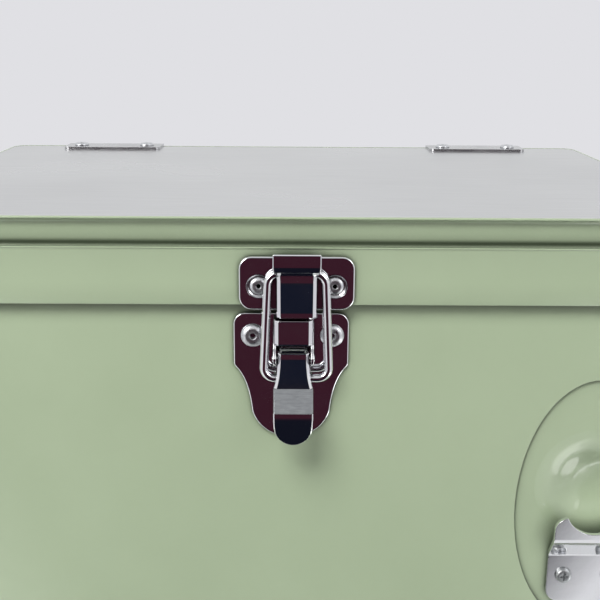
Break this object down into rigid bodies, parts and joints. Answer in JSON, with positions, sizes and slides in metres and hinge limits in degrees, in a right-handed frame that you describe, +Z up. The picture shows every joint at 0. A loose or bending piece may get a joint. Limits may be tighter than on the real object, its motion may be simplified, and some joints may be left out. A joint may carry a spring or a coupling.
{
  "type": "cooler chest",
  "caption": "Small painted steel cooler chest with a stainless lid top, draw latch, rear hinges, drop handles and insulated tub.",
  "frame": {"origin": "centre of the overall bounding box at floor level, under the feet", "axes": "+Z up, +X to the right as seen from the front, front faces -Y"},
  "size_m": [0.3648, 0.264, 0.3091],
  "materials": {
    "paint": "semi-gloss baked enamel on sheet steel",
    "top_sheet": "satin stainless sheet",
    "hardware_chrome": "bright plated",
    "rivet_alloy": "satin",
    "hinge_steel": "satin",
    "zinc_steel": "zinc plated",
    "foam": "rigid foam",
    "liner_plastic": "smooth moulded",
    "rubber": "matt",
    "drain_plastic": "moulded"
  },
  "bodies": {
    "body": {"body_shell": "paint", "latch_base": "hardware_chrome", "latch_pivot_pin": "hardware_chrome", "handle_bracket_left": "hardware_chrome", "handle_bracket_right": "hardware_chrome", "bottle_opener": "hardware_chrome", "latch_base_rivets": "rivet_alloy", "hinge_body_rivets": "rivet_alloy", "handle_rivets": "rivet_alloy", "hinge_body_leaf_left": "hinge_steel", "hinge_body_leaf_right": "hinge_steel", "hinge_pin_left": "hinge_steel", "hinge_pin_right": "hinge_steel", "bottom_pan": "zinc_steel", "foot_screws": "zinc_steel", "opener_screws": "zinc_steel", "body_foam": "foam", "inner_liner": "liner_plastic", "top_collar": "liner_plastic", "feet": "rubber", "drain_washer": "rubber", "drain_spout": "drain_plastic", "drain_nut": "drain_plastic"},
    "lid": {"lid_shell": "paint", "lid_top_plate": "top_sheet", "lid_foam": "foam", "lid_liner": "liner_plastic", "lid_gasket": "rubber", "latch_keeper": "hardware_chrome", "latch_keeper_rivets": "rivet_alloy", "hinge_lid_leaf_left": "hinge_steel", "hinge_lid_leaf_right": "hinge_steel", "hinge_lid_rivets": "rivet_alloy"},
    "latch_lever": {"latch_lever": "hardware_chrome"},
    "latch_bail": {"latch_bail": "hardware_chrome"},
    "handle_left": {"handle_left": "hardware_chrome"},
    "handle_right": {"handle_right": "hardware_chrome"},
    "drain_cap": {"drain_cap": "drain_plastic"}
  },
  "joints": [
    {"name": "lid_hinge", "type": "hinge", "parent": "body", "child": "lid", "pos_m": [0, 0.129, 0.267], "axis": [-1, 0, 0], "range_deg": [0, 100]},
    {"name": "latch_lever_pivot", "type": "hinge", "parent": "body", "child": "latch_lever", "pos_m": [0, -0.1227, 0.2496], "axis": [-1, 0, 0], "range_deg": [0, 110]},
    {"name": "latch_bail_pivot", "type": "hinge", "parent": "latch_lever", "child": "latch_bail", "pos_m": [0, -0.1214, 0.2409], "axis": [-1, 0, 0], "range_deg": [-100, 0]},
    {"name": "handle_left_pivot", "type": "hinge", "parent": "body", "child": "handle_left", "pos_m": [-0.177, 0.004, 0.212], "axis": [0, 1, 0], "range_deg": [0, 95]},
    {"name": "handle_right_pivot", "type": "hinge", "parent": "body", "child": "handle_right", "pos_m": [0.177, 0.004, 0.212], "axis": [0, -1, 0], "range_deg": [0, 95]},
    {"name": "drain_cap_turn", "type": "hinge", "parent": "body", "child": "drain_cap", "pos_m": [-0.177, 0.004, 0.057], "axis": [-1, 0, 0], "range_deg": [0, 720]}
  ],
  "couplings": [
    {"joint": "latch_bail_pivot", "follows": "latch_lever_pivot", "ratio": -0.87}
  ]
}
